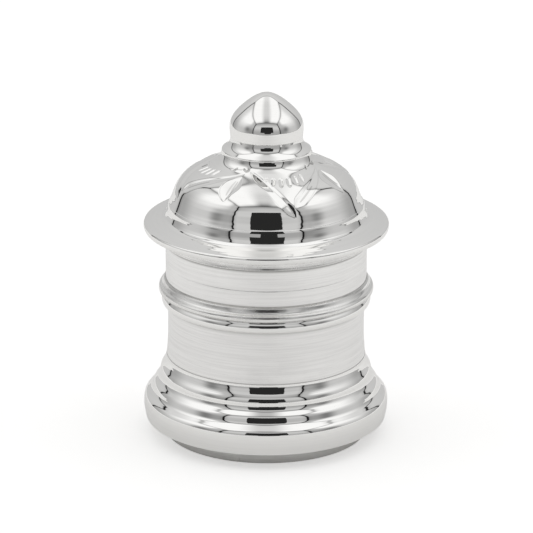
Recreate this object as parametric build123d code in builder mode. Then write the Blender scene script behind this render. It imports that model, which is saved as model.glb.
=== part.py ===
# A small silver box for kumkum powder, with a domed lift-off lid.
# Millimetres. +Z is up, the origin is the centre of the foot's underside, and every piece is turned about Z.
import os
from math import radians, tan

from build123d import *

# Sheet, solder and fits
sheet = 0.33  # the two tubes
dome_sheet = 0.45  # the spun dome
solder_gap = 0.02  # solder between the round faces of fixed pieces
lid_fit = 0.05  # radial clearance of the lid's skirt over the mouth

# Foot and floor
foot_out = 0.3  # how far the foot ring stands out beyond the foot of the lower tube
foot_height = 2.55
foot_width = 1.3
foot_edge = 0.15
plate_thickness = 0.4

# Tubes
wall_radius = 16.16  # lower tube, outside
wall_flare = 0.24  # how far the lower tube opens at the base
flare_height = 3.05
flare_softness = 0.48
lower_wall_height = 8.9  # from the base to the bands
upper_wall_height = 8.23  # from the bands to the mouth
lap_above_bands = 0.6  # how far the lower tube reaches up past the bands, inside the upper one

# Mouldings are lists of corners from the top down.
# A corner is its reach beyond a named radius, its drop below the corner before it, and its softness:
# the share of the shorter side at the corner that its rounding takes up.
least_land = 0.004  # straight run left on a side between two roundings

# Base moulding, reach beyond the lower tube
base_members = (
    (0.32, 0.50, 0.48),  # top of the cove
    (0.69, 1.00, 0.48),  # foot of the cove
    (1.16, 0.68, 0.48),  # upper slope
    (1.32, 0.57, 0.48),  # edge of the first step
    (1.36, 0.65, 0.48),  # face of the first step
    (1.56, 0.55, 0.48),  # hollow under the first step
    (2.34, 0.84, 0.30),  # middle slope, to the edge of the second step
    (2.70, 1.10, 0.30),  # face of the second step
    (3.87, 1.00, 0.40),  # lower slope, to the belly
    (4.04, 1.16, 0.48),  # belly
    (4.03, 1.00, 0.48),
    (3.69, 1.74, 0.10),  # lower edge of the belly
    (3.24, 0.11, 0.00),  # underside
)
belly_member_count = 5  # the last members, from the lower slope down
moulding_land = 2.85  # length of the moulding's seat on the tube
moulding_wall = 1.2  # thickness behind the belly

# Upper band, reach beyond the upper tube
upper_band_members = (
    (0.29, 0.20, 0.45),  # ledge
    (0.51, 0.72, 0.48),  # face above the bead
    (1.04, 0.40, 0.48),  # top of the bead
    (1.16, 0.36, 0.48),  # widest place
    (1.09, 0.62, 0.45),  # lower edge
    (0.40, 0.16, 0.00),  # underside
)

# Lower band, reach beyond the lower tube
lower_band_members = (
    (0.69, 0.00, 0.00),  # neck under the upper band
    (0.72, 0.22, 0.45),
    (0.94, 0.36, 0.45),  # slope
    (1.03, 0.36, 0.48),  # edge
    (1.01, 0.55, 0.48),  # face
    (0.84, 0.32, 0.48),  # lower edge
    (0.10, 0.13, 0.00),  # underside
)

# Lid rim, reach beyond the upper tube
rim_members = (
    (-0.46, 0.30, 0.48),  # shoulder of the drum
    (-0.28, 1.05, 0.48),  # waist of the drum
    (0.05, 0.73, 0.15),  # foot of the drum
    (0.50, 0.35, 0.48),  # inner edge of the flange
    (3.56, 0.85, 0.44),  # outer edge of the flange
    (3.58, 0.70, 0.48),  # widest place of the lip
    (3.36, 0.43, 0.40),  # lower edge of the lip
    (2.99, 0.04, 0.00),  # underside
)
rim_ledge = 0.05  # how far the top of the drum stands out beyond the dome's foot
rim_ledge_softness = 0.18

# Lid skirt, reach beyond its own bore
skirt_members = (
    (0.22, 1.03, 0.48),  # straight part
    (0.34, 0.90, 0.10),  # bell at the lower edge
)
skirt_wall = 0.19  # where it joins the rim

# Lid dome
dome_inset = 0.65  # how far the dome's foot stands in from the upper tube's face
dome_height = 8.42
# Curve of the dome from the neck down, and of its flared foot: in from the dome's radius, up from the rim
dome_curve = ((6.46, 6.84), (4.76, 5.74), (2.24, 5.43), (1.19, 3.20), (0.62, 1.50))
dome_foot_curve = (dome_curve[-1], (0.38, 0.77), (0.0, 0.0))
neck_height = 0.62  # the short upright neck under the collar
neck_taper = 0.06  # how far it widens downward
neck_softness = 0.48
crown_thickness = 0.5

# Finial collar, reach beyond its top
collar_top_radius = 5.86
collar_members = (
    (0.07, 0.72, 0.48),  # bell
    (0.49, 0.75, 0.48),
    (1.44, 0.65, 0.30),  # edge
    (1.64, 0.65, 0.00),  # side, down to the dome
)

# Finial bud
bud_radius = 6.02
bud_height = 7.27
# Curve of the bud: in from its radius, down from its tip
bud_curve = ((3.72, 0.0), (1.73, 2.77), (0.0, 3.35), (0.0, 5.78))
bud_foot_taper = 0.09
bud_foot_height = 0.1
bud_foot_softness = 0.4
bud_seat_inset = 0.13

# Stud that holds the finial, and its washer
stud_radius = 1.0
stud_clearance = 0.05
stud_grip = 2.5  # how far the stud reaches into the bud
stud_head_radius = 1.8
stud_head_height = 0.6
washer_radius = 3.0
washer_thickness = 0.4


def drop(members):
    """Height of a moulding."""
    return sum(member[1] for member in members)


def corners(members, radius, level):
    """Corner points of a moulding that hangs down from a level."""
    points = []
    for reach, step, _ in members:
        level -= step
        points.append((radius + reach, level))
    return points


def roundings(points, softness):
    """Corner radii along a line of points, from the softness of each inner corner."""
    radii = []
    for before, here, after, share in zip(points, points[1:], points[2:], softness):
        back = Vector(before) - Vector(here)
        ahead = Vector(after) - Vector(here)
        half_angle = radians(back.get_angle(ahead) / 2)
        side = min(back.length, ahead.length)
        reach = min(share * side, (side - least_land) / 2)
        radii.append(reach * tan(half_angle))
    return radii


def softness(members):
    """Softness of each corner of a moulding."""
    return [member[2] for member in members]


# Levels, from the foot up
plate_top = foot_height + plate_thickness
base_top = foot_height + drop(base_members)
lower_band_bottom = base_top + lower_wall_height
upper_band_bottom = lower_band_bottom + drop(lower_band_members)
band_top = upper_band_bottom + drop(upper_band_members)
lap_top = band_top + lap_above_bands
mouth = band_top + upper_wall_height
rim_top = mouth + drop(rim_members)
dome_top = rim_top + dome_height
collar_top = dome_top + drop(collar_members)
bud_top = collar_top + bud_height

# Radii that follow from the tubes
flared_radius = wall_radius + wall_flare
foot_radius = flared_radius + foot_out
moulding_bore_radius = flared_radius + solder_gap
belly_radius = wall_radius + max(member[0] for member in base_members)
base_core_radius = belly_radius - moulding_wall
upper_wall_bore_radius = wall_radius + solder_gap
upper_wall_radius = upper_wall_bore_radius + sheet
skirt_bore_radius = upper_wall_radius + lid_fit
dome_radius = upper_wall_radius - dome_inset
rim_bore_radius = dome_radius - dome_sheet
neck_radius = collar_top_radius + collar_members[-1][0]

# Foot ring
foot_bore_radius = foot_radius - foot_width
with BuildPart() as foot_ring:
    with BuildSketch(Plane.XZ):
        with BuildLine():
            FilletPolyline(
                (foot_bore_radius, foot_height),
                (foot_bore_radius, 0),
                (foot_radius, 0),
                (foot_radius, foot_height),
                radius=foot_edge,
            )
            Line((foot_radius, foot_height), (foot_bore_radius, foot_height))
        make_face()
    revolve(axis=Axis.Z)

# Base plate, the floor of the box, let into the underside of the moulding
with BuildPart() as base_plate:
    with BuildSketch(Plane.XY.offset(foot_height)):
        Circle(base_core_radius - solder_gap)
    extrude(amount=plate_thickness)

# Base moulding, seated on the lower tube and cored out behind with a plain cone
base_corners = [(moulding_bore_radius, base_top)] + corners(base_members, wall_radius, base_top)
core_top = foot_height + drop(base_members[-belly_member_count:]) - moulding_wall
with BuildPart() as base_moulding:
    with BuildSketch(Plane.XZ):
        with BuildLine():
            FilletPolyline(*base_corners, radius=roundings(base_corners, softness(base_members)))
            Polyline(
                base_corners[-1],
                (base_core_radius, foot_height),
                (base_core_radius, core_top),
                (moulding_bore_radius, base_top - moulding_land),
                base_corners[0],
            )
        make_face()
    revolve(axis=Axis.Z)

# Lower tube, standing on the plate, with a slight flare where the moulding sits
wall_outside = [
    (flared_radius, plate_top),
    (flared_radius, base_top),
    (wall_radius, base_top + flare_height),
    (wall_radius, lap_top),
]
wall_inside = [(radius - sheet, level) for radius, level in wall_outside]
flare_rounding = roundings(wall_outside, (0, flare_softness))
with BuildPart() as lower_wall:
    with BuildSketch(Plane.XZ):
        with BuildLine():
            FilletPolyline(*wall_outside, radius=flare_rounding)
            Line(wall_outside[-1], wall_inside[-1])
            FilletPolyline(*wall_inside, radius=flare_rounding)
            Line(wall_inside[0], wall_outside[0])
        make_face()
    revolve(axis=Axis.Z)

# Upper tube, lapped over the lower one, open at the mouth
with BuildPart() as upper_wall:
    with BuildSketch(Plane.XY.offset(upper_band_bottom)):
        Circle(upper_wall_radius)
        Circle(upper_wall_bore_radius, mode=Mode.SUBTRACT)
    extrude(amount=mouth - upper_band_bottom)

# Upper band, round the foot of the upper tube
upper_band_bore_radius = upper_wall_radius + solder_gap
upper_band_corners = [(upper_band_bore_radius, band_top)]
upper_band_corners += corners(upper_band_members, upper_wall_radius, band_top)
with BuildPart() as upper_band:
    with BuildSketch(Plane.XZ):
        with BuildLine():
            FilletPolyline(
                *upper_band_corners,
                radius=roundings(upper_band_corners, softness(upper_band_members)),
            )
            Polyline(
                upper_band_corners[-1],
                (upper_band_bore_radius, upper_band_bottom),
                upper_band_corners[0],
            )
        make_face()
    revolve(axis=Axis.Z)

# Lower band, round the lower tube under the upper band
lower_band_bore_radius = wall_radius + solder_gap
lower_band_corners = [(lower_band_bore_radius, upper_band_bottom)]
lower_band_corners += corners(lower_band_members, wall_radius, upper_band_bottom)
with BuildPart() as lower_band:
    with BuildSketch(Plane.XZ):
        with BuildLine():
            FilletPolyline(
                *lower_band_corners,
                radius=roundings(lower_band_corners, softness(lower_band_members)),
            )
            Polyline(
                lower_band_corners[-1],
                (lower_band_bore_radius, lower_band_bottom),
                lower_band_corners[0],
            )
        make_face()
    revolve(axis=Axis.Z)

# Lid skirt, which slips over the mouth
skirt_corners = [(skirt_bore_radius + skirt_wall, mouth)]
skirt_corners += corners(skirt_members, skirt_bore_radius, mouth)
skirt_corners.append((skirt_bore_radius, mouth - drop(skirt_members)))
with BuildPart() as lid_skirt:
    with BuildSketch(Plane.XZ):
        with BuildLine():
            FilletPolyline(*skirt_corners, radius=roundings(skirt_corners, softness(skirt_members)))
            Polyline(
                skirt_corners[-1],
                (skirt_bore_radius, mouth),
                skirt_corners[0],
            )
        make_face()
    revolve(axis=Axis.Z)

# Lid rim: drum and flange, resting on the mouth
rim_corners = [(rim_bore_radius, rim_top), (dome_radius + rim_ledge, rim_top)]
rim_corners += corners(rim_members, upper_wall_radius, rim_top)
with BuildPart() as lid_rim:
    with BuildSketch(Plane.XZ):
        with BuildLine():
            FilletPolyline(
                *rim_corners,
                radius=roundings(rim_corners, [rim_ledge_softness] + softness(rim_members)),
            )
            Polyline(
                rim_corners[-1],
                (rim_bore_radius, mouth),
                rim_corners[0],
            )
        make_face()
    revolve(axis=Axis.Z)

# Lid dome, a spun shell with a flat crown that carries the finial
dome_points = [(dome_radius - inset, rim_top + rise) for inset, rise in dome_curve]
dome_foot_points = [(dome_radius - inset, rim_top + rise) for inset, rise in dome_foot_curve]
crown_bottom = dome_top - crown_thickness
inner_points = [(radius - dome_sheet, level - dome_sheet) for radius, level in dome_points]
stud_hole_radius = stud_radius + stud_clearance
neck_corners = [
    (stud_hole_radius, dome_top),
    (neck_radius, dome_top),
    (neck_radius + neck_taper, dome_top - neck_height),
    dome_points[0],
]
with BuildPart() as lid_dome:
    with BuildSketch(Plane.XZ):
        with BuildLine():
            FilletPolyline(*neck_corners, radius=roundings(neck_corners, (0, neck_softness)))
            Bezier(*dome_points)
            Bezier(*dome_foot_points)
            Polyline(
                dome_foot_points[-1],
                (rim_bore_radius, rim_top),
                inner_points[-1],
            )
            Bezier(*reversed(inner_points))
            Polyline(
                inner_points[0],
                (neck_radius - dome_sheet, crown_bottom),
                (stud_hole_radius, crown_bottom),
                (stud_hole_radius, dome_top),
            )
        make_face()
    revolve(axis=Axis.Z)

# Finial collar
collar_corners = [(collar_top_radius, collar_top)]
collar_corners += corners(collar_members, collar_top_radius, collar_top)
with BuildPart() as finial_collar:
    with BuildSketch(Plane.XZ):
        with BuildLine():
            FilletPolyline(*collar_corners, radius=roundings(collar_corners, softness(collar_members)))
            Polyline(
                collar_corners[-1],
                (stud_hole_radius, dome_top),
                (stud_hole_radius, collar_top),
                collar_corners[0],
            )
        make_face()
    revolve(axis=Axis.Z)

# Finial bud, with a blind hole for the stud
bud_points = [(0, bud_top)]
bud_points += [(bud_radius - inset, bud_top - fall) for inset, fall in bud_curve]
bud_foot = [
    bud_points[-1],
    (bud_radius - bud_foot_taper, collar_top + bud_foot_height),
    (bud_radius - bud_seat_inset, collar_top),
]
stud_top = collar_top + stud_grip
with BuildPart() as finial_bud:
    with BuildSketch(Plane.XZ):
        with BuildLine():
            Bezier(*bud_points)
            FilletPolyline(*bud_foot, radius=roundings(bud_foot, (bud_foot_softness,)))
            Polyline(
                bud_foot[-1],
                (stud_hole_radius, collar_top),
                (stud_hole_radius, stud_top + stud_clearance),
                (0, stud_top + stud_clearance),
                (0, bud_top),
            )
        make_face()
    revolve(axis=Axis.Z)

# Stud through collar and crown, riveted over a washer inside the dome
washer_bottom = crown_bottom - washer_thickness
with BuildPart() as finial_stud:
    with BuildSketch(Plane.XY.offset(washer_bottom - stud_head_height)):
        Circle(stud_head_radius)
    extrude(amount=stud_head_height)
    with BuildSketch(Plane.XY.offset(washer_bottom)):
        Circle(stud_radius)
    extrude(amount=stud_top - washer_bottom)

with BuildPart() as stud_washer:
    with BuildSketch(Plane.XY.offset(washer_bottom)):
        Circle(washer_radius)
        Circle(stud_hole_radius, mode=Mode.SUBTRACT)
    extrude(amount=washer_thickness)

pieces = {
    "finial_bud": finial_bud,
    "finial_collar": finial_collar,
    "finial_stud": finial_stud,
    "stud_washer": stud_washer,
    "lid_dome": lid_dome,
    "lid_rim": lid_rim,
    "lid_skirt": lid_skirt,
    "upper_wall": upper_wall,
    "upper_band": upper_band,
    "lower_band": lower_band,
    "lower_wall": lower_wall,
    "base_moulding": base_moulding,
    "base_plate": base_plate,
    "foot_ring": foot_ring,
}

os.makedirs("parts", exist_ok=True)
for name, piece in pieces.items():
    piece.part.label = name
    export_step(piece.part, f"parts/{name}.step")
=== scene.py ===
import math

import bpy
import numpy as np
from mathutils import Matrix


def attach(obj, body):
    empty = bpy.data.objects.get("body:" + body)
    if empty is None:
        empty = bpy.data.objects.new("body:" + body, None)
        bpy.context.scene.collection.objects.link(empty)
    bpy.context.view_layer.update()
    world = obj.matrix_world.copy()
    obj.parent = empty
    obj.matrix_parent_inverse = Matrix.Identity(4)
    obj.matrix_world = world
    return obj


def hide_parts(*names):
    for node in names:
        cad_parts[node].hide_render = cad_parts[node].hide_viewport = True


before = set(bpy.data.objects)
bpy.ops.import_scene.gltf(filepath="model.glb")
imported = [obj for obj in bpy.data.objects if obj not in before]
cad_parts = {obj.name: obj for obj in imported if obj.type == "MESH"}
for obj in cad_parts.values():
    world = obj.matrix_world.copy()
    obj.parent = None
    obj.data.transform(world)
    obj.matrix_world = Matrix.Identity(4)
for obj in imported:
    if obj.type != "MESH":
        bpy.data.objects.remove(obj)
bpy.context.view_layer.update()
scene = bpy.context.scene

MM = 0.001

# Rings and columns of the turned pieces
SEGMENTS = 240  # round a turned piece
SUPPORT = 0.03  # distance of a supporting ring from the end of a straight run
RING_STEP = 0.09  # distance of two rings on a piece with lathe marks
ARC_STEP = 7.0  # degrees of a rounding between two rings
LEAST_ARC_STEPS = 3
BUD_CURVE_STEPS = 90
DOME_CURVE_STEPS = 160
DOME_FOOT_STEPS = 40
DOME_INSIDE_STEPS = 90
SHARP_ANGLE = 24.0  # degrees between two faces from which their edge is shaded sharp
SAME_PLACE = 1e-5  # points closer than this are one
ON_AXIS = 1e-6  # radius below which a point lies on the axis
STRAIGHT_TURN = 1e-4  # radians of turn below which a corner counts as straight

# Sizes that the pieces share with the CAD model
SHEET = 0.33
DOME_SHEET = 0.45
SOLDER_GAP = 0.02
LID_FIT = 0.05
FOOT_OUT = 0.3
FOOT_HEIGHT = 2.55
FOOT_WIDTH = 1.3
FOOT_EDGE = 0.11
PLATE_THICKNESS = 0.4
WALL_RADIUS = 16.16
WALL_FLARE = 0.24
FLARE_HEIGHT = 3.05
FLARE_SOFTNESS = 0.48
LOWER_WALL_HEIGHT = 8.9
UPPER_WALL_HEIGHT = 8.23
LAP_ABOVE_BANDS = 0.6
MOULDING_LAND = 2.85
MOULDING_WALL = 1.2
BELLY_MEMBER_COUNT = 5
SKIRT_WALL = 0.19
RIM_LEDGE = 0.05
RIM_LEDGE_SOFTNESS = 0.18
DOME_INSET = 0.65
DOME_HEIGHT = 8.42
CROWN_THICKNESS = 0.5
COLLAR_TOP_RADIUS = 5.86
BUD_RADIUS = 6.02
BUD_HEIGHT = 7.27
BUD_FOOT_TAPER = 0.09
BUD_FOOT_HEIGHT = 0.1
BUD_FOOT_SOFTNESS = 0.4
BUD_SEAT_INSET = 0.13
STUD_HOLE_RADIUS = 1.05

# Cove from the collar's edge down to the dome, with its turn from the upright in degrees at its first ring
# and where the dome's curve begins
COVE_RADIUS = 2.2
COVE_START = 6.0
COVE_END = 62.0
COVE_STEP = 3.0
COVE_EDGE_SOFTNESS = 0.45

# Mouldings from the top down: reach beyond a radius, drop from the corner before, and softness,
# the share of the shorter side at the corner that its rounding takes up
BASE_MEMBERS = (
    (0.32, 0.50, 0.48),
    (0.69, 1.00, 0.48),
    (1.16, 0.68, 0.48),
    (1.32, 0.57, 0.48),
    (1.36, 0.65, 0.48),
    (1.56, 0.55, 0.48),
    (2.34, 0.84, 0.30),
    (2.70, 1.10, 0.30),
    (3.87, 1.00, 0.40),
    (4.04, 1.16, 0.48),
    (4.03, 1.00, 0.48),
    (3.69, 1.74, 0.10),
    (3.24, 0.11, 0.00),
)
UPPER_BAND_MEMBERS = (
    (0.29, 0.20, 0.45),
    (0.51, 0.72, 0.48),
    (1.04, 0.40, 0.48),
    (1.16, 0.36, 0.48),
    (1.09, 0.62, 0.45),
    (0.40, 0.16, 0.00),
)
LOWER_BAND_MEMBERS = (
    (0.69, 0.00, 0.00),
    (0.72, 0.22, 0.45),
    (0.94, 0.36, 0.45),
    (1.03, 0.36, 0.48),
    (1.01, 0.55, 0.48),
    (0.84, 0.32, 0.48),
    (0.10, 0.13, 0.00),
)
RIM_MEMBERS = (
    (-0.46, 0.30, 0.48),
    (-0.28, 1.05, 0.48),
    (0.05, 0.73, 0.15),
    (0.50, 0.35, 0.48),
    (3.56, 0.85, 0.44),
    (3.58, 0.70, 0.48),
    (3.36, 0.43, 0.40),
    (2.99, 0.04, 0.00),
)
SKIRT_MEMBERS = (
    (0.22, 1.03, 0.48),
    (0.34, 0.90, 0.10),
)
COLLAR_MEMBERS = (
    (0.07, 0.72, 0.48),
    (0.49, 0.75, 0.48),
    (1.44, 0.65, 0.30),
    (1.64, 0.65, 0.00),
)

# Control points of the curves: inset from a radius, and height above the rim or drop from the bud's top
DOME_CURVE = ((6.46, 6.84), (4.76, 5.74), (2.24, 5.43), (1.19, 3.20), (0.62, 1.50))
DOME_FOOT_CURVE = (DOME_CURVE[-1], (0.38, 0.77), (0.0, 0.0))
BUD_CURVE = ((3.72, 0.0), (1.73, 2.77), (0.0, 3.35), (0.0, 5.78))

# Turning lines on the tubes: height, width and depth of each groove
UPPER_TURNING_LINES = ((30.5, 0.12, 0.006), (30.0, 0.24, 0.020), (29.45, 0.20, 0.022), (29.1, 0.12, 0.006))
LOWER_TURNING_LINES = ((20.25, 0.24, 0.012),)

# Lathe marks: pitch, share of the height and phase of each wave, and the height on each piece
LATHE_MARKS = ((0.83, 1.0, 0.4), (0.47, 0.5, 2.1), (1.61, 1.2, 4.4))
RIM_MARKS = 0.0022
BASE_MARKS = 0.0010
BAND_MARKS = 0.0030

# Dome: its grid, the ripples near its foot, and the unevenness of the spun sheet as
# waves round the dome, climb per millimetre, height, phase
DOME_COLUMNS = 1440
DOME_ROW_STEP = 0.06
RIPPLE_HEIGHT = 0.0024
RIPPLE_PITCH = 0.78
RIPPLE_START = 8.0
RIPPLE_FULL = 9.5
DOME_WAVES = ((5, 0.33, 0.030, 6.1), (9, -0.14, 0.014, 4.4), (17, -0.94, 0.004, 3.8))

# Chasing on the dome. A cut's section runs from its gentle side to its steep side:
# share of the width, share of the depth
LEAF_SECTION = ((0.0, 0.0), (0.72, 1.0), (1.0, 0.0))
LINE_SECTION = ((0.0, 0.0), (0.5, 1.0), (1.0, 0.0))
SPRIG_ANGLE = -20.0  # of the sprig in front
SPRIG_COUNT = 4
CUT_POINTS = 160
CUT_REACH = 60.0  # degrees round from the middle of a cut that it may take up
LEAST_CUT_WIDTH = 1e-6
OUTLINE_WIDTH = 0.13
OUTLINE_DEPTH = 0.09  # of the darkest outline
OUTLINE_FADE = 4.0  # an outline fades where its cut is narrower than its full width over this
SMOOTHING_ROUNDS = 3

# Cuts of a sprig: middle line, half width, depth, shares of its length where it widens and narrows,
# darkness of its outline, section. A place on the middle line is degrees round from the sprig's stem
# and millimetres down from the dome's top edge.
SPRIG_CUTS = (
    (((-51.0, 9.1), (-40.0, 6.0), (-24.0, 4.0), (-3.0, 1.8)), 0.95, 0.21, 0.14, 0.7, 0.2, LEAF_SECTION),
    (((-47.5, 8.2), (-39.0, 6.5), (-31.0, 5.3)), 0.07, 0.03, 0.3, 0.3, 0.4, LINE_SECTION),
    (((-4.5, 2.7), (-11.0, 4.6), (-11.0, 6.4), (-9.0, 8.5)), 1.60, 0.32, 0.45, 0.55, 0.25, LEAF_SECTION),
    (((-8.5, 3.6), (-10.5, 5.2), (-9.5, 7.2)), 0.07, 0.03, 0.3, 0.3, 0.3, LINE_SECTION),
    (((-6.5, 3.6), (-7.5, 5.2), (-7.0, 6.9)), 0.07, 0.03, 0.3, 0.3, 0.4, LINE_SECTION),
    (((0.0, 1.2), (12.0, 1.9), (25.0, 5.2), (38.3, 10.8)), 0.85, 0.22, 0.5, 0.10, 0.12, LEAF_SECTION),
    (((-8.0, 0.95), (-5.0, 1.2), (-2.5, 1.4)), 0.10, 0.05, 0.3, 0.3, 0.7, LINE_SECTION),
    (((-2.5, 1.4), (-1.0, 1.1), (-0.5, 0.85)), 0.10, 0.05, 0.3, 0.3, 0.7, LINE_SECTION),
    (((-21.0, 1.7), (-18.0, 1.3), (-16.0, 0.95)), 0.10, 0.05, 0.3, 0.3, 0.6, LINE_SECTION),
)

# Hatching beside the leaves: strokes from the first angle to the last, lower and longer in the middle
HATCH_COUNT = 6
HATCH_FIRST = -70.0
HATCH_LAST = -34.0
HATCH_LEAN = -2.5
HATCH_TOP = 2.35
HATCH_SAG = 0.3
HATCH_LENGTH = 2.0
HATCH_SWELL = 0.45
HATCH_STROKE = (0.36, 0.17, 0.2, 0.3, 0.0, LINE_SECTION)  # as a cut, without its middle line

# Metal: scales of its noise per metre, detail of the noise, and the part of it that is used
LINE_SCALE = (80.0, 80.0, 4500.0)
CLOUD_SCALE = (260.0, 260.0, 260.0)
WAVE_SCALE = (240.0, 240.0, 330.0)
LINE_DETAIL = 3.0
CLOUD_DETAIL = 3.0
WAVE_DETAIL = 1.0
LINE_SPAN = (0.35, 0.65)
CLOUD_SPAN = (0.3, 0.7)
SMOOTHEST = 0.65  # share of the roughness where the polish is best
ROUGHEST = 1.35
# dark colour of tarnish, also used for painted shade along the seams
TARNISH_AND_SHADE = (0.10, 0.095, 0.085)
SILVER = (0.955, 0.95, 0.935)
SATIN_SILVER = (0.95, 0.945, 0.935)
# darker silver of the foot ring and inner pieces: a duller finish, with painted shade in its darker colour
DULL_SHADED_SILVER = (0.74, 0.735, 0.72)

# Finishes: roughness, height of the turning lines, darkness of their streaks, height of the waves
MIRROR_FINISH = (0.03, 0.0003, 0.02, 0.012)
CHASED_FINISH = (0.03, 0.0003, 0.02, 0.02)
WORN_FINISH = (0.24, 0.006, 0.16, 0.012)
SATIN_FINISH = (0.17, 0.004, 0.09, 0.008)
DULL_FINISH = (0.4, 0.003, 0.1, 0.008)

# Light tent: distances of the front, back and top cloths, with the side cloths at 1
TENT_FRONT = 1.09
TENT_BACK = 0.824
TENT_TOP = 1.48

# Slot in the front cloth that the camera looks through, with a hump in its lower edge
SLOT_MIDDLE = 0.025
SLOT_HALF_WIDTH = 0.394
SLOT_BOTTOM = 0.06
SLOT_TOP = 0.75
SLOT_LIGHT = 0.022
HUMP_MIDDLE = 0.06
HUMP_HALF_WIDTH = 0.21
HUMP_FLAT = 0.8  # share of the half width where the hump is full
HUMP_DROP = 0.12

# Shades of the cloths as ramps: place of the start, place of the end, light at the start, light at the end
FRONT_BY_HEIGHT = (0.0, 0.65, 0.385, 0.61)
FRONT_TOP_SHADE = (0.75, 1.45, 1.0, 0.55)
BACK_BY_HEIGHT = (-0.1, 1.2, 0.56, 0.66)
SIDE_BY_HEIGHT = (0.05, 0.9, 0.56, 1.0)
SIDE_BACK_SHADE = (0.1, 0.6, 1.0, 0.68)
STRIPE_BY_DEPTH = (-1.1, -0.35, 0.33, 0.67)
STRIPE_BACK_LIGHT = (0.0, 0.45, 1.0, 1.15)
TOP_FRONT_SHADE = (-1.09, -0.75, 0.6, 1.0)
STRIPE_EDGE = (0.08, 0.44)  # from the middle of the top cloth

# Shaded strip and darker patch of the side cloths, both towards the front
STRIP_START_BY_HEIGHT = (0.6, 1.0, 0.05, 0.45)
STRIP_FULL = 0.8
STRIP_LIGHT = 0.5
PATCH_AHEAD = 0.5
PATCH_HEIGHT = 0.24
PATCH_LENGTH = 0.3
PATCH_RISE = 0.42
PATCH_LIGHT = 0.5

# Seams where the cloths meet and the soft folds beside them, as ramps of the distance from the seam
UPRIGHT_SEAM = (0.030, 0.060, 0.03, 1.0)
UPRIGHT_FOLD = (0.02, 0.2, 0.8, 1.0)
TOP_SEAM = (0.010, 0.07, 0.58, 1.0)
TOP_FOLD = (0.02, 0.16, 0.8, 1.0)

# Floor
FLOOR_HALF = 350.0
FLOOR_CORNERS = ((-1, -1), (1, -1), (1, 1), (-1, 1))
# dark band at the floor's edge: painted shade of the fold, shown only in reflections
FLOOR_RIM = 24.0  # width of the fold where the paper meets the cloth, seen in the metal only
FLOOR_COLOUR = (0.92, 0.915, 0.905)
FLOOR_FOLD_SHADE_COLOUR = (0.15, 0.15, 0.15)
FLOOR_GLOW = 0.43
FLOOR_GLOW_IN_METAL = 0.08
FLOOR_GLOW_AT_SIDES = 0.17
FLOOR_GLOW_REACH = 120.0  # distance to the side where it is reached
WHITE = (1.0, 1.0, 1.0, 1.0)

# Camera, from the photograph
CAMERA_ELEVATION = 18.65
CAMERA_DISTANCE = 600.0
CAMERA_AIM = 28.15
CAMERA_ROLL = 0.18
CAMERA_SHIFT = 0.0006
CAMERA_CLIP = 10.0
SENSOR_WIDTH = 36.0
FOCAL_PIXELS = 3651.0
PHOTO_WIDTH = 533.0


# Outlines of turned pieces, as points (radius, height)
def drop(members):
    return sum(member[1] for member in members)


def corners(members, radius, level):
    """Corners (radius, height, softness) of a moulding that hangs down from a level."""
    points = []
    for reach, step, softness in members:
        level -= step
        points.append((radius + reach, level, softness))
    return points


def bezier(points, count):
    """Points along a Bezier curve."""
    path = []
    for i in range(count + 1):
        t = i / count
        row = list(points)
        while len(row) > 1:
            row = [tuple(a + (b - a) * t for a, b in zip(p, q)) for p, q in zip(row, row[1:])]
        path.append(row[0])
    return path


def straight(start, end):
    """A straight run with a supporting ring near each end, so that its shading stays flat."""
    length = math.dist(start, end)
    if length < 4 * SUPPORT:
        return [start, end]
    share = SUPPORT / length
    near = tuple(a + (b - a) * share for a, b in zip(start, end))
    far = tuple(b + (a - b) * share for a, b in zip(start, end))
    return [start, near, far, end]


def runs(*points):
    """Straight runs from each point to the next."""
    path = []
    for start, end in zip(points, points[1:]):
        path += straight(start, end)
    return path


def rounded(points):
    """Outline through corners (radius, height, softness), with a tangent arc at each soft corner."""
    path = []
    last = points[0][:2]
    for before, here, after in zip(points, points[1:], points[2:]):
        softness = here[2] if len(here) > 2 else 0.0
        back = (before[0] - here[0], before[1] - here[1])
        ahead = (after[0] - here[0], after[1] - here[1])
        back_length, ahead_length = math.hypot(*back), math.hypot(*ahead)
        back = (back[0] / back_length, back[1] / back_length)
        ahead = (ahead[0] / ahead_length, ahead[1] / ahead_length)
        angle = math.acos(max(-1.0, min(1.0, back[0] * ahead[0] + back[1] * ahead[1])))
        if softness <= 0 or math.pi - angle < STRAIGHT_TURN:
            path += straight(last, here[:2])
            last = here[:2]
            continue
        reach = softness * min(back_length, ahead_length)
        rounding = reach * math.tan(angle / 2)
        middle = (back[0] + ahead[0], back[1] + ahead[1])
        scale = rounding / math.sin(angle / 2) / math.hypot(*middle)
        centre = (here[0] + middle[0] * scale, here[1] + middle[1] * scale)
        start = (here[0] + back[0] * reach, here[1] + back[1] * reach)
        end = (here[0] + ahead[0] * reach, here[1] + ahead[1] * reach)
        first = math.atan2(start[1] - centre[1], start[0] - centre[0])
        turn = math.atan2(end[1] - centre[1], end[0] - centre[0]) - first
        turn = (turn + math.pi) % (2 * math.pi) - math.pi
        count = max(LEAST_ARC_STEPS, int(abs(math.degrees(turn)) / ARC_STEP) + 1)
        path += straight(last, start)
        for i in range(1, count):
            a = first + turn * i / count
            path.append((centre[0] + rounding * math.cos(a), centre[1] + rounding * math.sin(a)))
        last = end
    path += straight(last, points[-1][:2])
    return path


def without_repeats(path):
    kept = [path[0]]
    for point in path[1:]:
        if math.dist(point, kept[-1]) > SAME_PLACE:
            kept.append(point)
    return kept


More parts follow.
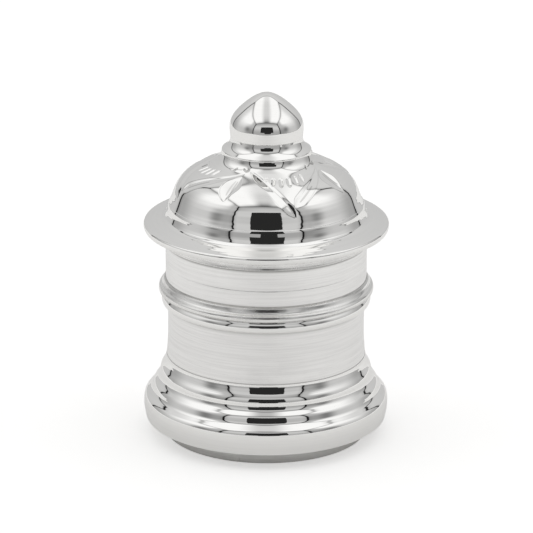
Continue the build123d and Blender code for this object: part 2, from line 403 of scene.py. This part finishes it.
def lathe_marks(path, height):
    """The path with the faint rings that the lathe leaves, where a wave with a share of 1 has the height."""
    points = np.array(without_repeats(path))
    steps = np.hypot(*np.diff(points, axis=0).T)
    lengths = np.concatenate([[0.0], np.cumsum(steps)])
    places = [0.0]
    for start, step in zip(lengths, steps):
        count = max(1, round(step / RING_STEP))
        places += [start + step * (i + 1) / count for i in range(count)]
    places = np.array(places)
    radius = np.interp(places, lengths, points[:, 0])
    level = np.interp(places, lengths, points[:, 1])
    across, fall = np.gradient(radius, places), np.gradient(level, places)
    norm = np.hypot(across, fall)
    mark = sum(share * np.sin(2 * math.pi * places / pitch + phase) for pitch, share, phase in LATHE_MARKS)
    radius = radius - height * mark * fall / norm
    level = level + height * mark * across / norm
    return list(zip(radius, level))


def grooved(start, end, lines):
    """A straight wall from a high place to a low one, with turning lines cut into it."""
    path = [start]
    radius = start[0]
    for height, width, depth in lines:
        half = width / 2
        path += straight(path[-1], (radius, height + half))
        path += [(radius - depth, height), (radius, height - half)]
    return path + straight(path[-1], end)


def cove(edge_radius, edge_level, first, last):
    """Points of the cove under an edge, between two turns from the upright."""
    path = []
    count = math.ceil((last - first) / COVE_STEP)
    for i in range(count + 1):
        a = math.radians(first + (last - first) * i / count)
        out = COVE_RADIUS * (1 - math.cos(a))
        sink = COVE_RADIUS * math.sin(a)
        path.append((edge_radius + out, edge_level - sink))
    return path


# Meshes
def turned(outline, closed=True):
    """Vertices and faces of an outline turned about Z. A point on the axis becomes one vertex."""
    outline = without_repeats(outline)
    if closed and math.dist(outline[0], outline[-1]) < SAME_PLACE:
        outline.pop()
    vertices, rings = [], []
    for radius, height in outline:
        if radius < ON_AXIS:
            rings.append([len(vertices)] * SEGMENTS)
            vertices.append((0.0, 0.0, height))
            continue
        rings.append(list(range(len(vertices), len(vertices) + SEGMENTS)))
        for i in range(SEGMENTS):
            a = 2 * math.pi * i / SEGMENTS
            vertices.append((radius * math.cos(a), radius * math.sin(a), height))
    pairs = list(zip(rings, rings[1:]))
    if closed:
        pairs.append((rings[-1], rings[0]))
    faces = []
    for upper, lower in pairs:
        for i in range(SEGMENTS):
            j = (i + 1) % SEGMENTS
            corner = [upper[i], lower[i], lower[j], upper[j]]
            faces.append(tuple(dict.fromkeys(corner)))
    return vertices, faces


def new_piece(name, vertices, faces, material, body, slot, *nodes):
    """A mesh piece that rides on a body and stands for CAD nodes."""
    mesh = bpy.data.meshes.new(name)
    mesh.from_pydata([(x * MM, y * MM, z * MM) for x, y, z in vertices], [], faces)
    mesh.update()
    mesh.shade_smooth()
    mesh.set_sharp_from_angle(angle=math.radians(SHARP_ANGLE))
    mesh.materials.append(material)
    piece = bpy.data.objects.new(name, mesh)
    scene.collection.objects.link(piece)
    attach(piece, body)
    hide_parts(*nodes)
    return piece


# Node helpers for materials and the light tent
def add_node(tree, kind, **settings):
    node = tree.nodes.new(kind)
    for name, value in settings.items():
        setattr(node, name, value)
    return node


def put(tree, socket, value):
    if hasattr(value, "is_linked"):
        tree.links.new(value, socket)
    else:
        socket.default_value = value


def calc(tree, operation, *values):
    node = add_node(tree, "ShaderNodeMath", operation=operation)
    for socket, value in zip(node.inputs, values):
        put(tree, socket, value)
    return node.outputs[0]


def distance(tree, first, second):
    return calc(tree, "ABSOLUTE", calc(tree, "SUBTRACT", first, second))


def ramp(tree, value, low, high, at_low=0.0, at_high=1.0):
    node = add_node(tree, "ShaderNodeMapRange", interpolation_type="SMOOTHSTEP")
    put(tree, node.inputs["Value"], value)
    put(tree, node.inputs["From Min"], low)
    put(tree, node.inputs["From Max"], high)
    put(tree, node.inputs["To Min"], at_low)
    put(tree, node.inputs["To Max"], at_high)
    return node.outputs["Result"]


def shaded(tree, light, value, *span):
    """Light times a ramp of a value."""
    return calc(tree, "MULTIPLY", light, ramp(tree, value, *span))


def blend(tree, first, second, share):
    node = add_node(tree, "ShaderNodeMix", data_type="FLOAT", clamp_factor=True)
    put(tree, node.inputs[0], share)
    put(tree, node.inputs[2], first)
    put(tree, node.inputs[3], second)
    return node.outputs[0]


def blend_colours(tree, first, second, share):
    node = add_node(tree, "ShaderNodeMix", data_type="RGBA")
    put(tree, node.inputs["Factor"], share)
    put(tree, node.inputs["A"], (*first, 1.0))
    put(tree, node.inputs["B"], (*second, 1.0))
    return node.outputs["Result"]


def silver(name, colour, roughness, line_height, streak, wave_height, seams=(), attribute=None):
    """Silver with uneven polish, fine turning lines that run round it, and tarnish and painted shade in its
    seams.
    """
    material = bpy.data.materials.new(name)
    material.use_nodes = True
    tree = material.node_tree
    shader = tree.nodes["Principled BSDF"]
    put(tree, shader.inputs["Metallic"], 1.0)
    place = add_node(tree, "ShaderNodeTexCoord").outputs["Object"]

    def noise(scale, detail):
        stretch = add_node(tree, "ShaderNodeMapping")
        put(tree, stretch.inputs["Vector"], place)
        put(tree, stretch.inputs["Scale"], scale)
        cloud = add_node(tree, "ShaderNodeTexNoise")
        put(tree, cloud.inputs["Vector"], stretch.outputs["Vector"])
        put(tree, cloud.inputs["Scale"], 1.0)
        put(tree, cloud.inputs["Detail"], detail)
        return cloud.outputs["Fac"]

    lines = noise(LINE_SCALE, LINE_DETAIL)
    clouds = noise(CLOUD_SCALE, CLOUD_DETAIL)
    rough = ramp(tree, clouds, *CLOUD_SPAN, SMOOTHEST * roughness, ROUGHEST * roughness)
    shade = ramp(tree, lines, *LINE_SPAN, 1.0 - streak, 1.0)
    if seams:
        level = add_node(tree, "ShaderNodeSeparateXYZ")
        put(tree, level.inputs[0], place)
        level = calc(tree, "DIVIDE", level.outputs["Z"], MM)
    # darken the seams: tarnish in part, painted shade in part
    for height, width, amount in seams:
        away = distance(tree, level, height)
        shade = shaded(tree, shade, away, 0.0, width, 1.0 - amount, 1.0)
    if attribute:
        cut = add_node(tree, "ShaderNodeAttribute", attribute_name=attribute).outputs["Fac"]
        shade = calc(tree, "MULTIPLY", shade, calc(tree, "SUBTRACT", 1.0, cut))
    put(tree, shader.inputs["Base Color"], blend_colours(tree, TARNISH_AND_SHADE, colour, shade))
    put(tree, shader.inputs["Roughness"], rough)
    waves = add_node(tree, "ShaderNodeBump")
    put(tree, waves.inputs["Distance"], wave_height * MM)
    put(tree, waves.inputs["Height"], noise(WAVE_SCALE, WAVE_DETAIL))
    bump = add_node(tree, "ShaderNodeBump")
    put(tree, bump.inputs["Distance"], line_height * MM)
    put(tree, bump.inputs["Height"], lines)
    put(tree, bump.inputs["Normal"], waves.outputs["Normal"])
    put(tree, shader.inputs["Normal"], bump.outputs["Normal"])
    return material


# Levels and radii
plate_top = FOOT_HEIGHT + PLATE_THICKNESS
base_top = FOOT_HEIGHT + drop(BASE_MEMBERS)
lower_band_bottom = base_top + LOWER_WALL_HEIGHT
upper_band_bottom = lower_band_bottom + drop(LOWER_BAND_MEMBERS)
band_top = upper_band_bottom + drop(UPPER_BAND_MEMBERS)
lap_top = band_top + LAP_ABOVE_BANDS
mouth = band_top + UPPER_WALL_HEIGHT
skirt_bottom = mouth - drop(SKIRT_MEMBERS)
rim_top = mouth + drop(RIM_MEMBERS)
dome_top = rim_top + DOME_HEIGHT
collar_top = dome_top + drop(COLLAR_MEMBERS)
bud_top = collar_top + BUD_HEIGHT
flared_radius = WALL_RADIUS + WALL_FLARE
foot_radius = flared_radius + FOOT_OUT
moulding_bore_radius = flared_radius + SOLDER_GAP
base_core_radius = WALL_RADIUS + max(member[0] for member in BASE_MEMBERS) - MOULDING_WALL
upper_wall_bore_radius = WALL_RADIUS + SOLDER_GAP
upper_wall_radius = upper_wall_bore_radius + SHEET
skirt_bore_radius = upper_wall_radius + LID_FIT
dome_radius = upper_wall_radius - DOME_INSET
rim_bore_radius = dome_radius - DOME_SHEET
neck_radius = COLLAR_TOP_RADIUS + COLLAR_MEMBERS[-1][0]
collar_edge_radius = COLLAR_TOP_RADIUS + COLLAR_MEMBERS[-2][0]
collar_edge = dome_top + COLLAR_MEMBERS[-1][1]
cove_at_dome = math.degrees(math.asin((collar_edge - dome_top) / COVE_RADIUS))

# Seams with tarnish and painted shade: height, width and darkness
worn_seams = (
    (upper_band_bottom, 0.16, 0.75),
    (upper_band_bottom + 0.31, 0.16, 0.45),
    (band_top - 0.1, 0.2, 0.3),
)
satin_seams = (
    (skirt_bottom - 0.15, 0.45, 0.65),
    (band_top, 0.3, 0.6),
    (lower_band_bottom, 0.8, 0.4),
    (base_top, 0.25, 0.6),
)
polished = silver("polished silver", SILVER, *MIRROR_FINISH)
chased = silver("chased silver", SILVER, *CHASED_FINISH, attribute="tarnish")
worn = silver("worn silver", SILVER, *WORN_FINISH, seams=worn_seams)
satin = silver("satin silver", SATIN_SILVER, *SATIN_FINISH, seams=satin_seams)
dull_shaded = silver("dull silver", DULL_SHADED_SILVER, *DULL_FINISH)

# Finial bud
bud_points = [(0.0, bud_top)] + [(BUD_RADIUS - inset, bud_top - fall) for inset, fall in BUD_CURVE]
outline = bezier(bud_points, BUD_CURVE_STEPS)
outline += rounded([
    bud_points[-1],
    (BUD_RADIUS - BUD_FOOT_TAPER, collar_top + BUD_FOOT_HEIGHT, BUD_FOOT_SOFTNESS),
    (BUD_RADIUS - BUD_SEAT_INSET, collar_top),
])
outline.append((0.0, collar_top))
new_piece("turned_bud", *turned(outline, closed=False), polished, "lid", "polished_silver", "finial_bud")

# Finial collar
outline = rounded([
    (COLLAR_TOP_RADIUS, collar_top),
    *corners(COLLAR_MEMBERS[:-2], COLLAR_TOP_RADIUS, collar_top),
    (collar_edge_radius, collar_edge, COVE_EDGE_SOFTNESS),
    *cove(collar_edge_radius, collar_edge, COVE_START, cove_at_dome),
    (STUD_HOLE_RADIUS, dome_top),
    (STUD_HOLE_RADIUS, collar_top),
    (COLLAR_TOP_RADIUS, collar_top),
])
new_piece("turned_collar", *turned(outline), polished, "lid", "polished_silver", "finial_collar")

# Lid rim and skirt
outline = rounded([
    (rim_bore_radius, rim_top),
    (dome_radius + RIM_LEDGE, rim_top, RIM_LEDGE_SOFTNESS),
    *corners(RIM_MEMBERS, upper_wall_radius, rim_top),
    (rim_bore_radius, mouth),
    (rim_bore_radius, rim_top),
])
outline = lathe_marks(outline, RIM_MARKS)
new_piece("turned_rim", *turned(outline), polished, "lid", "polished_silver", "lid_rim")
outline = rounded([
    (skirt_bore_radius + SKIRT_WALL, mouth),
    *corners(SKIRT_MEMBERS, skirt_bore_radius, mouth),
    (skirt_bore_radius, skirt_bottom),
    (skirt_bore_radius, mouth),
    (skirt_bore_radius + SKIRT_WALL, mouth),
])
outline = lathe_marks(outline, BAND_MARKS)
new_piece("turned_skirt", *turned(outline), worn, "lid", "polished_silver", "lid_skirt")

# Tubes
outline = grooved((upper_wall_radius, mouth), (upper_wall_radius, upper_band_bottom), UPPER_TURNING_LINES)
outline += runs(
    (upper_wall_radius, upper_band_bottom),
    (upper_wall_bore_radius, upper_band_bottom),
    (upper_wall_bore_radius, mouth),
    (upper_wall_radius, mouth),
)
new_piece("upper_tube", *turned(outline), satin, "box", "satin_silver", "upper_wall")

flare_start = base_top + FLARE_HEIGHT
outer = rounded([
    (WALL_RADIUS, flare_start + FLARE_HEIGHT),
    (WALL_RADIUS, flare_start, FLARE_SOFTNESS),
    (flared_radius, base_top),
    (flared_radius, plate_top),
])
inner = rounded([
    (flared_radius - SHEET, plate_top),
    (flared_radius - SHEET, base_top),
    (WALL_RADIUS - SHEET, flare_start, FLARE_SOFTNESS),
    (WALL_RADIUS - SHEET, lap_top),
    (WALL_RADIUS, lap_top),
])
outline = grooved((WALL_RADIUS, lap_top), (WALL_RADIUS, flare_start + FLARE_HEIGHT), LOWER_TURNING_LINES)
outline += outer
outline += straight(outer[-1], inner[0])
outline += inner
new_piece("lower_tube", *turned(outline), satin, "box", "satin_silver", "lower_wall")

# Bands
upper_band_bore_radius = upper_wall_radius + SOLDER_GAP
outline = rounded([
    (upper_band_bore_radius, band_top),
    *corners(UPPER_BAND_MEMBERS, upper_wall_radius, band_top),
    (upper_band_bore_radius, upper_band_bottom),
    (upper_band_bore_radius, band_top),
])
outline = lathe_marks(outline, BAND_MARKS)
new_piece("beaded_band", *turned(outline), worn, "box", "polished_silver", "upper_band")
lower_band_bore_radius = WALL_RADIUS + SOLDER_GAP
outline = rounded([
    (lower_band_bore_radius, upper_band_bottom),
    *corners(LOWER_BAND_MEMBERS, WALL_RADIUS, upper_band_bottom),
    (lower_band_bore_radius, lower_band_bottom),
    (lower_band_bore_radius, upper_band_bottom),
])
outline = lathe_marks(outline, BASE_MARKS)
new_piece("plain_band", *turned(outline), polished, "box", "polished_silver", "lower_band")

# Base moulding and foot ring
core_top = FOOT_HEIGHT + drop(BASE_MEMBERS[-BELLY_MEMBER_COUNT:]) - MOULDING_WALL
outline = rounded([
    (moulding_bore_radius, base_top),
    *corners(BASE_MEMBERS, WALL_RADIUS, base_top),
    (base_core_radius, FOOT_HEIGHT),
    (base_core_radius, core_top),
    (moulding_bore_radius, base_top - MOULDING_LAND),
    (moulding_bore_radius, base_top),
])
outline = lathe_marks(outline, BASE_MARKS)
new_piece("turned_base", *turned(outline), polished, "box", "polished_silver", "base_moulding")
foot_bore_radius = foot_radius - FOOT_WIDTH
outline = rounded([
    (foot_radius, FOOT_HEIGHT),
    (foot_radius, 0.0, FOOT_EDGE),
    (foot_bore_radius, 0.0, FOOT_EDGE),
    (foot_bore_radius, FOOT_HEIGHT),
    (foot_radius, FOOT_HEIGHT),
])
# the foot ring takes the darker silver, its colour partly painted shade
new_piece("turned_foot", *turned(outline), dull_shaded, "box", "dull_silver", "foot_ring")

# Inner pieces keep their CAD shape
for node in ("base_plate", "finial_stud", "stud_washer"):
    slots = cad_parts[node].data.materials
    slots.clear()
    slots.append(dull_shaded)

# Chased dome: rows down its outline, columns round it, and the relief and tarnish at each place
dome_points = [(dome_radius - inset, rim_top + rise) for inset, rise in DOME_CURVE]
dome_foot_points = [(dome_radius - inset, rim_top + rise) for inset, rise in DOME_FOOT_CURVE]
dome_outline = cove(collar_edge_radius, collar_edge, cove_at_dome, COVE_END)
dome_outline += bezier([dome_outline[-1]] + dome_points[1:], DOME_CURVE_STEPS)
dome_outline += bezier(dome_foot_points, DOME_FOOT_STEPS)[1:]
dome_outline = np.array(without_repeats(dome_outline))
lengths = np.concatenate([[0.0], np.cumsum(np.hypot(*np.diff(dome_outline, axis=0).T))])
rows = int(lengths[-1] / DOME_ROW_STEP)
down = np.linspace(0.0, lengths[-1], rows + 1)
radius = np.interp(down, lengths, dome_outline[:, 0])
height = np.interp(down, lengths, dome_outline[:, 1])
across = np.gradient(radius, down)
fall = np.gradient(height, down)
norm = np.hypot(across, fall)
normal_out, normal_up = -fall / norm, across / norm
angles = np.arange(DOME_COLUMNS) * 360.0 / DOME_COLUMNS
relief = np.zeros((rows + 1, DOME_COLUMNS))
tarnish = np.zeros((rows + 1, DOME_COLUMNS))


def hatching():
    """The strokes beside the leaves, as cuts."""
    strokes = []
    for i in range(HATCH_COUNT):
        share = i / (HATCH_COUNT - 1)
        angle = HATCH_FIRST + (HATCH_LAST - HATCH_FIRST) * share
        bulge = math.sin(math.pi * share)
        top = HATCH_TOP + HATCH_SAG * bulge
        foot = top + HATCH_LENGTH + HATCH_SWELL * bulge
        strokes.append((((angle, top), (angle + HATCH_LEAN, foot)), *HATCH_STROKE))
    return strokes


def cut_width(along, widens, narrows):
    """Share of a cut's width along its length: it rises over its first part and falls over its last."""
    opening = np.sin(0.5 * math.pi * np.clip(along / widens, 0.0, 1.0))
    closing = np.sin(0.5 * math.pi * np.clip((1.0 - along) / narrows, 0.0, 1.0))
    return opening * closing


def chase(places, half_width, depth, widens, narrows, darkness, section):
    """Carves one cut into the relief and darkens its outline."""
    path = np.array(bezier(places, CUT_POINTS))
    middle = path[CUT_POINTS // 2, 0]
    path_x = np.radians(path[:, 0] - middle) * np.interp(path[:, 1], down, radius)
    path_y = path[:, 1]
    ahead_x, ahead_y = np.gradient(path_x), np.gradient(path_y)
    turn = (angles - SPRIG_ANGLE - middle + 180.0) % 360.0 - 180.0
    columns = np.nonzero(np.abs(turn) < CUT_REACH)[0]
    margin = half_width + OUTLINE_WIDTH
    band = np.nonzero((down > path_y.min() - margin) & (down < path_y.max() + margin))[0]
    x = np.radians(turn[columns])[None, :] * radius[band][:, None]
    y = np.broadcast_to(down[band][:, None], x.shape)
    reach = np.full(x.shape, np.inf)
    along = np.zeros(x.shape)
    side = np.zeros(x.shape)
    for k in range(CUT_POINTS + 1):
        gap = np.hypot(x - path_x[k], y - path_y[k])
        closer = gap < reach
        reach = np.where(closer, gap, reach)
        along = np.where(closer, k / CUT_POINTS, along)
        cross = ahead_x[k] * (y - path_y[k]) - ahead_y[k] * (x - path_x[k])
        side = np.where(closer, np.sign(cross), side)
    width = half_width * cut_width(along, widens, narrows) + LEAST_CUT_WIDTH
    from_gentle_side = 0.5 - 0.5 * side * np.minimum(reach / width, 1.0)
    cut = np.interp(from_gentle_side, *zip(*section)) * depth * width / half_width
    edge = np.clip(1.0 - np.abs(reach - width) / OUTLINE_WIDTH, 0.0, 1.0)
    edge *= np.clip(OUTLINE_FADE * width / half_width, 0.0, 1.0)
    patch = np.ix_(band, columns)
    relief[patch] = np.minimum(relief[patch], -cut - OUTLINE_DEPTH * darkness * edge)
    tarnish[patch] = np.maximum(tarnish[patch], darkness * edge)


def all_round(values):
    """The values of one sprig at the place of every sprig."""
    step = DOME_COLUMNS // SPRIG_COUNT
    return [np.roll(values, i * step, axis=1) for i in range(SPRIG_COUNT)]


for cut in (*SPRIG_CUTS, *hatching()):
    chase(*cut)
relief = np.minimum.reduce(all_round(relief))
tarnish = np.maximum.reduce(all_round(tarnish))
for _ in range(SMOOTHING_ROUNDS):
    relief = (np.roll(relief, 1, axis=1) + 2.0 * relief + np.roll(relief, -1, axis=1)) / 4.0
    relief[1:-1] = (relief[:-2] + 2.0 * relief[1:-1] + relief[2:]) / 4.0
swell = np.clip((down - RIPPLE_START) / (RIPPLE_FULL - RIPPLE_START), 0.0, 1.0)
swell = swell * swell * (3.0 - 2.0 * swell)
relief += (RIPPLE_HEIGHT * swell * np.sin(2 * math.pi * down / RIPPLE_PITCH))[:, None]
turn = np.radians(angles)
for waves, climb, wave_height, phase in DOME_WAVES:
    relief += wave_height * np.sin(waves * turn[None, :] + climb * down[:, None] + phase)

vertices, faces = [], []
for i in range(rows + 1):
    ring_radius = radius[i] + normal_out[i] * relief[i]
    ring_height = height[i] + normal_up[i] * relief[i]
    vertices += list(zip(ring_radius * np.sin(turn), -ring_radius * np.cos(turn), ring_height))
for i in range(rows):
    upper, lower = i * DOME_COLUMNS, (i + 1) * DOME_COLUMNS
    for j in range(DOME_COLUMNS):
        k = (j + 1) % DOME_COLUMNS
        faces.append((upper + j, lower + j, lower + k, upper + k))
dome = new_piece("chased_dome", vertices, faces, chased, "lid", "polished_silver", "lid_dome")
dome.data.attributes.new("tarnish", "FLOAT", "POINT").data.foreach_set("value", tarnish.ravel())

# Inside of the dome
crown_bottom = dome_top - CROWN_THICKNESS
inner_points = [(r - DOME_SHEET, z - DOME_SHEET) for r, z in dome_points]
outline = runs((dome_radius, rim_top), (rim_bore_radius, rim_top), inner_points[-1])
outline += bezier(inner_points[::-1], DOME_INSIDE_STEPS)
outline += runs(
    inner_points[0],
    (neck_radius - DOME_SHEET, crown_bottom),
    (STUD_HOLE_RADIUS, crown_bottom),
    (STUD_HOLE_RADIUS, dome_top),
    dome_outline[0],
)
new_piece("dome_inside", *turned(outline, closed=False), satin, "lid", "polished_silver", "lid_dome")

# Light tent: a box of white cloth round the object, seen only in reflections and as light
world = bpy.data.worlds.new("light tent")
scene.world = world
world.use_nodes = True
tree = world.node_tree
tree.nodes.clear()
direction = add_node(tree, "ShaderNodeSeparateXYZ")
put(tree, direction.inputs[0], add_node(tree, "ShaderNodeTexCoord").outputs["Generated"])
dx, dy, dz = direction.outputs
to_side = calc(tree, "ABSOLUTE", dx)
to_front = calc(tree, "DIVIDE", calc(tree, "MULTIPLY", dy, -1.0), TENT_FRONT)
to_back = calc(tree, "DIVIDE", dy, TENT_BACK)
to_end = calc(tree, "MAXIMUM", to_front, to_back)
to_top = calc(tree, "DIVIDE", dz, TENT_TOP)
to_wall = calc(tree, "MAXIMUM", to_side, to_end)
to_cloth = calc(tree, "MAXIMUM", to_wall, to_top)
hit_x = calc(tree, "DIVIDE", dx, to_cloth)
hit_y = calc(tree, "DIVIDE", dy, to_cloth)
hit_z = calc(tree, "DIVIDE", dz, to_cloth)
is_top = calc(tree, "GREATER_THAN", to_top, to_wall)
is_side = calc(tree, "GREATER_THAN", to_side, to_end)
is_back = calc(tree, "GREATER_THAN", dy, 0.0)

# Front cloth with its slot, and back cloth
front = ramp(tree, hit_z, *FRONT_BY_HEIGHT)
front = shaded(tree, front, hit_z, *FRONT_TOP_SHADE)
from_middle = distance(tree, hit_x, SLOT_MIDDLE)
from_hump = distance(tree, hit_x, HUMP_MIDDLE)
hump = ramp(tree, from_hump, HUMP_FLAT * HUMP_HALF_WIDTH, HUMP_HALF_WIDTH, HUMP_DROP, 0.0)
slot_bottom = calc(tree, "SUBTRACT", SLOT_BOTTOM, hump)
in_slot = calc(tree, "LESS_THAN", from_middle, SLOT_HALF_WIDTH)
in_slot = calc(tree, "MULTIPLY", in_slot, calc(tree, "LESS_THAN", hit_z, SLOT_TOP))
in_slot = calc(tree, "MULTIPLY", in_slot, calc(tree, "GREATER_THAN", hit_z, slot_bottom))
front = blend(tree, front, SLOT_LIGHT, in_slot)
back = ramp(tree, hit_z, *BACK_BY_HEIGHT)

# Side cloths, lit from outside, shaded towards the front and the back, and with a darker patch
side = ramp(tree, hit_z, *SIDE_BY_HEIGHT)
ahead = calc(tree, "MULTIPLY", hit_y, -1.0)
strip_start = ramp(tree, hit_z, *STRIP_START_BY_HEIGHT)
side = shaded(tree, side, ahead, strip_start, STRIP_FULL, 1.0, STRIP_LIGHT)
patch_x = calc(tree, "DIVIDE", calc(tree, "SUBTRACT", ahead, PATCH_AHEAD), PATCH_LENGTH)
patch_z = calc(tree, "DIVIDE", calc(tree, "SUBTRACT", hit_z, PATCH_HEIGHT), PATCH_RISE)
square_x = calc(tree, "POWER", patch_x, 2.0)
square_z = calc(tree, "POWER", patch_z, 2.0)
from_patch = calc(tree, "SQRT", calc(tree, "ADD", square_x, square_z))
side = shaded(tree, side, from_patch, 0.0, 1.0, PATCH_LIGHT, 1.0)
side = shaded(tree, side, hit_y, *SIDE_BACK_SHADE)

# Top cloth with a greyer stripe down the middle, darkest towards the front
stripe = ramp(tree, hit_y, *STRIPE_BY_DEPTH)
stripe = shaded(tree, stripe, hit_y, *STRIPE_BACK_LIGHT)
top = blend(tree, stripe, 1.0, ramp(tree, calc(tree, "ABSOLUTE", hit_x), *STRIPE_EDGE))
top = shaded(tree, top, hit_y, *TOP_FRONT_SHADE)

cloth = blend(tree, front, back, is_back)
cloth = blend(tree, cloth, side, is_side)
cloth = blend(tree, cloth, top, is_top)

# Dark seams where the cloths meet, in a soft fold
from_upright = calc(tree, "DIVIDE", distance(tree, to_side, to_end), to_cloth)
from_upright = calc(tree, "ADD", from_upright, is_top)
from_top = calc(tree, "DIVIDE", distance(tree, to_top, to_wall), to_cloth)
cloth = shaded(tree, cloth, from_upright, *UPRIGHT_SEAM)
cloth = shaded(tree, cloth, from_upright, *UPRIGHT_FOLD)
cloth = shaded(tree, cloth, from_top, *TOP_SEAM)
cloth = shaded(tree, cloth, from_top, *TOP_FOLD)
is_camera = add_node(tree, "ShaderNodeLightPath").outputs["Is Camera Ray"]
background = add_node(tree, "ShaderNodeBackground")
put(tree, background.inputs["Color"], WHITE)
put(tree, background.inputs["Strength"], blend(tree, cloth, 1.0, is_camera))
put(tree, add_node(tree, "ShaderNodeOutputWorld").inputs["Surface"], background.outputs[0])

# Floor, white to the camera except in the object's shadow, with painted shade of its fold at the edge that
# only the metal sees
mesh = bpy.data.meshes.new("floor")
half = FLOOR_HALF * MM
mesh.from_pydata([(x * half, y * half, 0) for x, y in FLOOR_CORNERS], [], [(0, 1, 2, 3)])
floor = bpy.data.objects.new("floor", mesh)
scene.collection.objects.link(floor)
paper = bpy.data.materials.new("floor paper")
paper.use_nodes = True
tree = paper.node_tree
shader = tree.nodes["Principled BSDF"]
light_path = add_node(tree, "ShaderNodeLightPath").outputs
place = add_node(tree, "ShaderNodeSeparateXYZ")
put(tree, place.inputs[0], add_node(tree, "ShaderNodeTexCoord").outputs["Object"])
aside = calc(tree, "ABSOLUTE", place.outputs["X"])
lengthwise = calc(tree, "ABSOLUTE", place.outputs["Y"])
# painted shade of the fold at the floor's edge, shown only in reflections
at_rim = calc(tree, "GREATER_THAN", calc(tree, "MAXIMUM", aside, lengthwise), (FLOOR_HALF - FLOOR_RIM) * MM)
fold_shade_in_metal = calc(tree, "MULTIPLY", at_rim, light_path["Is Glossy Ray"])
put(tree, shader.inputs["Base Color"], blend_colours(tree, FLOOR_COLOUR, FLOOR_FOLD_SHADE_COLOUR, fold_shade_in_metal))
put(tree, shader.inputs["Roughness"], 1.0)
put(tree, shader.inputs["Specular IOR Level"], 0.0)
put(tree, shader.inputs["Emission Color"], WHITE)
to_camera = calc(tree, "MULTIPLY", light_path["Is Camera Ray"], FLOOR_GLOW)
in_metal = ramp(tree, aside, 0.0, FLOOR_GLOW_REACH * MM, FLOOR_GLOW_IN_METAL, FLOOR_GLOW_AT_SIDES)
to_metal = calc(tree, "MULTIPLY", light_path["Is Glossy Ray"], in_metal)
put(tree, shader.inputs["Emission Strength"], calc(tree, "ADD", to_camera, to_metal))
mesh.materials.append(paper)

# Camera
lens = bpy.data.cameras.new("camera")
lens.sensor_width = SENSOR_WIDTH
lens.lens = SENSOR_WIDTH * FOCAL_PIXELS / PHOTO_WIDTH
lens.shift_x = CAMERA_SHIFT
lens.clip_start = CAMERA_CLIP * MM
camera = bpy.data.objects.new("camera", lens)
scene.collection.objects.link(camera)
elevation = math.radians(CAMERA_ELEVATION)
place = Matrix.Translation((
    0.0,
    -CAMERA_DISTANCE * math.cos(elevation) * MM,
    (CAMERA_AIM + CAMERA_DISTANCE * math.sin(elevation)) * MM,
))
tilt = Matrix.Rotation(math.pi / 2 - elevation, 4, "X")
camera.matrix_world = place @ tilt @ Matrix.Rotation(math.radians(CAMERA_ROLL), 4, "Z")
scene.camera = camera
scene.view_settings.view_transform = "Standard"
